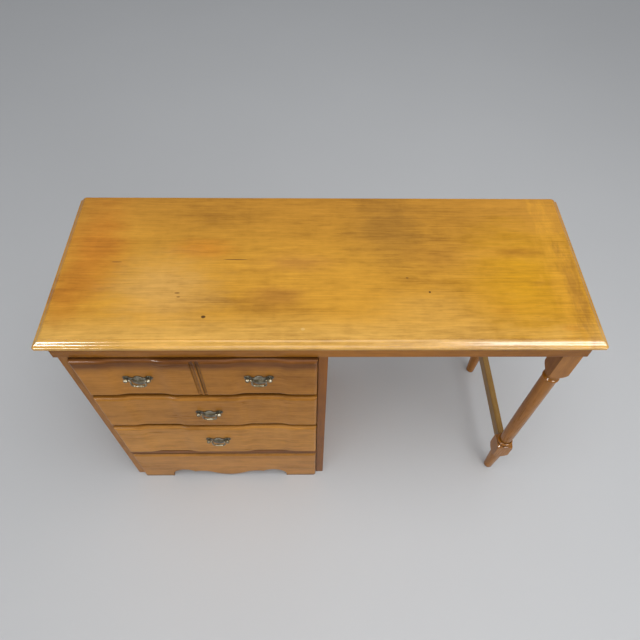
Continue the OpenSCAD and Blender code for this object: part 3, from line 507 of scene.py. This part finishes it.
class DeskWoodSettings(bpy.types.PropertyGroup):
    """The colours and the gloss of the wood."""

    top: colour_setting("Top", "Stain of the writing surface", tone(199, 142, 42))
    case: colour_setting("Case", "Stain of the case, the drawer fronts and the legs", tone(184, 124, 50))
    bare: colour_setting(
        "Bare wood", "Unstained wood of the drawer boxes and the frames", tone(200, 168, 122))
    ply: colour_setting(
        "Plywood", "Thin plywood of the back and the drawer bottoms", tone(188, 150, 104))
    gloss: FloatProperty(
        name="Dullness", description="Roughness of the lacquer", subtype="FACTOR",
        min=0.05, max=0.9, default=0.3)


class DeskMetalSettings(bpy.types.PropertyGroup):
    """The colours of the pulls, and the brads of the thin panels."""

    bright: colour_setting("Rubbed brass", "Brass where hands have rubbed it", tone(150, 142, 118))
    dark: colour_setting("Dark brass", "Brass under its old lacquer", tone(74, 62, 32))
    brad_head: FloatProperty(
        name="Brad head", description="Width of a brad's head", unit="LENGTH",
        min=0.001, max=0.01, default=0.0032)
    brad_step: FloatProperty(
        name="Brad spacing", description="Distance between brads", unit="LENGTH",
        min=0.02, max=0.3, default=0.085)
    brad_seed: IntProperty(
        name="Brad seed", description="Start of the small differences between brads", min=0, default=7)


class DeskStudioSettings(bpy.types.PropertyGroup):
    """The floor, the lamps and the camera."""

    floor: colour_setting("Floor", "Colour of the plain floor", tone(205, 206, 207))
    sky: FloatProperty(
        name="Room light", description="Strength of the even light from all round",
        min=0, max=2, default=0.36)
    overhead: FloatProperty(
        name="Overhead lamp", description="Power of the large lamp over the desk", unit="POWER",
        min=0, default=55.0)
    front: FloatProperty(
        name="Front lamp", description="Power of the lamp in front of the desk", unit="POWER",
        min=0, default=26.0)
    sheen: FloatProperty(
        name="Sheen lamps", description="Power of the two lamps that only lacquer and brass mirror",
        unit="POWER", min=0, default=190.0)
    lens: FloatProperty(
        name="Lens", description="Focal length of the camera in millimetres",
        min=10, max=200, default=31.25)


# Operators


class DESK_OT_finish_top(bpy.types.Operator):
    """Stain and lacquer the top, with the clouds and small marks of use, and paint its shade at the back
    and its sheen in front
    """

    bl_idname = "desk.finish_top"
    bl_label = "Finish the Top"

    def execute(self, context):
        wood = context.scene.desk_wood
        dress("desktop", maple(
            "desktop_finish", "x", 3, tuple(wood.top), wood.gloss, figure=0.68, coat=0.75, reach=0.006,
            grime_and_shade=0.3, stains_and_painted_light=top_stains_shade_and_sheen))
        return {"FINISHED"}


# Each part of the case: how its grain runs, and its coats of stain over those of the middle drawer. The
# extra coats of the front frieze rail paint the shadow under the top's overhang, and those of the drawer
# rails paint shade in the gaps between the drawers
CASE_WOOD = {
    # The front frieze rail's extra coats are painted shadow under the top's overhang
    "frieze_front_rail": ("x", 2.0), "frieze_back_rail": ("x", 1.0),
    "frieze_left_rail": ("y", 1.5), "frieze_right_rail": ("y", 1.5),
    "side_panel_left": ("z", 0.5), "side_panel_right": ("z", 1.0),
    "stile_left": ("z", 0.8), "stile_right": ("z", 4.2),
    # The drawer rails' extra coats are painted shade in the gaps between the drawers
    "drawer_rail_upper": ("x", 3.0), "drawer_rail_middle": ("x", 3.0), "drawer_rail_lower": ("x", 4.5),
    "base_apron": ("x", -0.3), "end_apron": ("y", 1.0), "back_apron": ("x", 1.0),
}
# The stiles get less grime and painted shade than the rest, and only close to a joint
STILE_GRIME_AND_SHADE = {"reach": 0.006, "grime_and_shade": 0.4}


class DESK_OT_finish_case(bpy.types.Operator):
    """Stain and lacquer the frieze, the pedestal's outside and its rails, with painted shade on the
    front frieze rail and the drawer rails
    """

    bl_idname = "desk.finish_case"
    bl_label = "Finish the Case"

    def execute(self, context):
        wood = context.scene.desk_wood
        for seed, (name, (grain, coats)) in enumerate(CASE_WOOD.items(), 11):
            held = STILE_GRIME_AND_SHADE if name.startswith("stile") else {}
            dress(name, maple(
                name + "_finish", grain, seed, stained(wood.case, coats), wood.gloss, **held))
        return {"FINISHED"}


# Coats of stain of the legs, over those of the middle drawer, and of the stretcher, over bare wood; the
# stretcher's paler colour also paints the brighter light that falls on it
LEG_COATS, STRETCHER_COATS_AND_LIGHT = 1.7, 2.5


class DESK_OT_finish_legs(bpy.types.Operator):
    """Stain and lacquer the turned legs and the stretcher between them, the stretcher paler as painted
    light
    """

    bl_idname = "desk.finish_legs"
    bl_label = "Finish the Legs"

    def execute(self, context):
        wood = context.scene.desk_wood
        turned, plain = stained(wood.case, LEG_COATS), stained(wood.bare, STRETCHER_COATS_AND_LIGHT)
        for seed, name in enumerate(("front_leg", "rear_leg"), 31):
            dress(name, maple(name + "_finish", "z", seed, turned, wood.gloss, coat=0.45, reach=0.01))
        dress("stretcher", maple("stretcher_finish", "y", 33, plain, wood.gloss, reach=0.01))
        return {"FINISHED"}


# Each drawer: its first seed, and the coats of stain of its front over those of the middle one, which
# paint shade on the top drawer and extra light on the bottom one
DRAWERS = {"top_drawer": (41, 0.6), "middle_drawer": (47, 0.0), "bottom_drawer": (53, -0.9)}


class DESK_OT_finish_drawers(bpy.types.Operator):
    """Finish the drawer fronts, and leave the boxes behind them bare"""

    bl_idname = "desk.finish_drawers"
    bl_label = "Finish the Drawers"

    def execute(self, context):
        wood = context.scene.desk_wood
        box_grain = {"side_left": "y", "side_right": "y", "back": "x"}
        for drawer, (seed, coats) in DRAWERS.items():
            dress(drawer + "_front", maple(
                drawer + "_front_finish", "x", seed, stained(wood.case, coats), wood.gloss, coat=0.15,
                stains_and_painted_light=upper_edge_band if drawer == "top_drawer" else None))
            for step, (piece, grain) in enumerate(box_grain.items(), 1):
                dress(f"{drawer}_{piece}", bare_wood(
                    f"{drawer}_{piece}_bare", grain, seed + step, tuple(wood.bare)))
            dress(drawer + "_bottom", bare_wood(
                drawer + "_bottom_ply", "x", seed + 4, tuple(wood.ply), PLY_RING))
        return {"FINISHED"}


# The direction of the grain of each part out of sight
INSIDE_GRAIN = {
    "frieze_cross_rail": "y", "corner_blocks": "x",
    "runners_upper": "y", "runners_middle": "y", "runners_lower": "y", "web_back_rails": "x",
    "kickers": "y", "drawer_stops": "x", "base_glue_blocks": "z",
}


class DESK_OT_finish_insides(bpy.types.Operator):
    """Leave the hidden frames bare, and give the back its plywood"""

    bl_idname = "desk.finish_insides"
    bl_label = "Finish the Insides"

    def execute(self, context):
        wood = context.scene.desk_wood
        for seed, (name, grain) in enumerate(INSIDE_GRAIN.items(), 61):
            dress(name, bare_wood(name + "_bare", grain, seed, tuple(wood.bare)))
        dress("back_panel", bare_wood("back_panel_ply", "z", 71, tuple(wood.ply), PLY_RING))
        return {"FINISHED"}


class DESK_OT_finish_pulls(bpy.types.Operator):
    """Age the brass of the four bail pulls"""

    bl_idname = "desk.finish_pulls"
    bl_label = "Finish the Pulls"

    def execute(self, context):
        metal = context.scene.desk_metal
        for seed, pull in enumerate(("top_left", "top_right", "middle", "bottom"), 81):
            for piece in ("plate", "posts", "bail"):
                dress(f"{pull}_pull_{piece}", aged_brass(
                    f"{pull}_pull_{piece}_brass", seed, tuple(metal.bright), tuple(metal.dark)))
        return {"FINISHED"}


class DESK_OT_fit_fixings(bpy.types.Operator):
    """Plate the screws and the bolts, and drive the brads of the back and of the drawer bottoms"""

    bl_idname = "desk.fit_fixings"
    bl_label = "Fit the Fixings"

    def execute(self, context):
        metal = context.scene.desk_metal
        for seed, name in enumerate(("top_screws", "leg_bolts"), 91):
            dress(name, plated_steel(name + "_zinc", seed))
        tree, zinc = brad_rows(), plated_steel("brad_zinc", 93)
        drive_brads(tree, "back_brads", "desk", self.back_rows(), (0.0, 1.0, 0.0), metal, zinc)
        for drawer in DRAWERS:
            drive_brads(
                tree, drawer + "_brads", drawer, self.bottom_rows(drawer), (0.0, 0.0, -1.0), metal, zinc)
        return {"FINISHED"}

    def back_rows(self):
        """Two upright rows into the side panels, and a row into the back of each web frame."""
        low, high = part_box("back_panel")
        inset, end = 0.005, 0.025
        sides = (low[0] + inset, high[0] - inset)
        rows = [((x, high[1], low[2] + end), (x, high[1], high[2] - end)) for x in sides]
        for rail in ("upper", "middle", "lower"):
            under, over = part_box("drawer_rail_" + rail)
            z = (under[2] + over[2]) / 2
            rows.append(((low[0] + 2 * end, high[1], z), (high[0] - 2 * end, high[1], z)))
        return rows

    def bottom_rows(self, drawer):
        """One row up through the bottom into the drawer's back."""
        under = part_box(drawer + "_bottom")[0][2]
        low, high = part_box(drawer + "_back")
        y, end = (low[1] + high[1]) / 2, 0.03
        return [((low[0] + end, y, under), (high[0] - end, y, under))]


# Each lamp: its power's setting, its place, what it faces, its size, and if only gloss mirrors it
LAMPS = {
    "overhead_lamp": ("overhead", (0.35, -0.6, 3.2), (0.0, 0.1, 0.7), (2.6, 2.0), False),
    "front_lamp": ("front", (1.6, -3.0, 2.2), (0.1, 0.0, 0.4), (2.4, 1.6), False),
    "left_sheen_lamp": ("sheen", (-2.3, -2.6, 2.7), (-0.575, -0.2, 0.6), (0.8, 1.8), True),
    "right_sheen_lamp": ("sheen", (2.0, -2.6, 2.7), (0.5, -0.2, 0.6), (1.7, 1.8), True),
}
# Tint of the even light that comes from all round
ROOM_COLOUR = tone(244, 247, 252)
# Where the camera stands, and how far it looks down, to the right and rolled, in degrees
CAMERA_PLACE = (-0.026, -0.8325, 1.729)
CAMERA_PITCH, CAMERA_YAW, CAMERA_ROLL = 54.91, 1.73, 1.40
# Width of the camera's sensor in millimetres, and how far it sees in metres
SENSOR_WIDTH, CAMERA_SIGHT = 36.0, 60.0


class DESK_OT_set_studio(bpy.types.Operator):
    """Lay the floor, hang the lamps and stand the camera where the photograph was taken"""

    bl_idname = "desk.set_studio"
    bl_label = "Set the Studio"

    def execute(self, context):
        scene, studio = context.scene, context.scene.desk_studio
        self.lay_floor(scene, tuple(studio.floor))
        self.light_room(scene, studio.sky)
        for name, (setting, *hanging) in LAMPS.items():
            self.hang_lamp(scene, name, getattr(studio, setting), *hanging)
        self.stand_camera(scene, studio.lens)
        scene.view_settings.view_transform = "Standard"
        return {"FINISHED"}

    def lay_floor(self, scene, colour):
        half = 14.0
        mesh = bpy.data.meshes.new("floor")
        corners = [(-half, -half, 0), (half, -half, 0), (half, half, 0), (-half, half, 0)]
        mesh.from_pydata(corners, [], [(0, 1, 2, 3)])
        floor = bpy.data.objects.new("floor", mesh)
        scene.collection.objects.link(floor)
        paint = Finish("floor_paint")
        cloud = paint.noise(paint.stretched(paint.place, 1.5, 1.5), 2.0)
        mesh.materials.append(paint.surface(
            base_color=paint.blend(cloud, shaded(colour, 0.97), shaded(colour, 1.02)), roughness=0.75))

    def light_room(self, scene, strength):
        world = bpy.data.worlds.new("room")
        scene.world = world
        world.use_nodes = True
        tree = world.node_tree
        tree.nodes.clear()
        room = add_node(tree, "ShaderNodeBackground", None, {"Color": ROOM_COLOUR, "Strength": strength})
        output = tree.nodes.new("ShaderNodeOutputWorld")
        tree.links.new(room.socket, output.inputs["Surface"])

    def hang_lamp(self, scene, name, power, place, target, size, lacquer_only):
        lamp = bpy.data.lights.new(name, "AREA")
        lamp.shape = "RECTANGLE"
        lamp.size, lamp.size_y = size
        lamp.energy = power
        hung = bpy.data.objects.new(name, lamp)
        hung.location = place
        hung.rotation_euler = (Vector(target) - Vector(place)).to_track_quat("-Z", "Y").to_euler()
        hung.visible_diffuse = not lacquer_only
        scene.collection.objects.link(hung)

    def stand_camera(self, scene, lens):
        pitch, yaw, roll = (math.radians(angle) for angle in (CAMERA_PITCH, CAMERA_YAW, CAMERA_ROLL))
        reach = math.cos(pitch)
        forward = Vector((math.sin(yaw) * reach, math.cos(yaw) * reach, -math.sin(pitch)))
        level = Vector((math.cos(yaw), -math.sin(yaw), 0))
        upright = level.cross(forward)
        right = level * math.cos(roll) + upright * math.sin(roll)
        up = upright * math.cos(roll) - level * math.sin(roll)
        turn = Matrix((right, up, -forward)).transposed().to_4x4()
        camera = bpy.data.cameras.new("camera")
        camera.lens = lens
        camera.sensor_width = SENSOR_WIDTH
        camera.clip_end = CAMERA_SIGHT
        stand = bpy.data.objects.new("camera", camera)
        stand.matrix_world = Matrix.Translation(CAMERA_PLACE) @ turn
        scene.collection.objects.link(stand)
        scene.camera = stand


STEPS = (
    DESK_OT_finish_top, DESK_OT_finish_case, DESK_OT_finish_legs, DESK_OT_finish_drawers,
    DESK_OT_finish_insides, DESK_OT_finish_pulls, DESK_OT_fit_fixings, DESK_OT_set_studio,
)


class DESK_PT_workshop(bpy.types.Panel):
    """Lists the desk's settings and the steps that finish it"""

    bl_label = "Kneehole Desk"
    bl_idname = "DESK_PT_workshop"
    bl_space_type = "VIEW_3D"
    bl_region_type = "UI"
    bl_category = "Desk"

    def draw(self, context):
        for group in (context.scene.desk_wood, context.scene.desk_metal, context.scene.desk_studio):
            box = self.layout.box()
            for name in group.bl_rna.properties.keys():
                if name not in ("rna_type", "name"):
                    box.prop(group, name)
        for step in STEPS:
            self.layout.operator(step.bl_idname)


SETTINGS = (
    (DeskWoodSettings, "desk_wood"),
    (DeskMetalSettings, "desk_metal"),
    (DeskStudioSettings, "desk_studio"),
)


def register():
    for group, name in SETTINGS:
        bpy.utils.register_class(group)
        setattr(bpy.types.Scene, name, PointerProperty(type=group))
    for step in STEPS:
        bpy.utils.register_class(step)
    bpy.utils.register_class(DESK_PT_workshop)


def unregister():
    bpy.utils.unregister_class(DESK_PT_workshop)
    for step in reversed(STEPS):
        bpy.utils.unregister_class(step)
    for group, name in reversed(SETTINGS):
        delattr(bpy.types.Scene, name)
        bpy.utils.unregister_class(group)


def main():
    register()
    for step in STEPS:
        family, action = step.bl_idname.split(".")
        getattr(getattr(bpy.ops, family), action)()


if __name__ == "__main__":
    main()
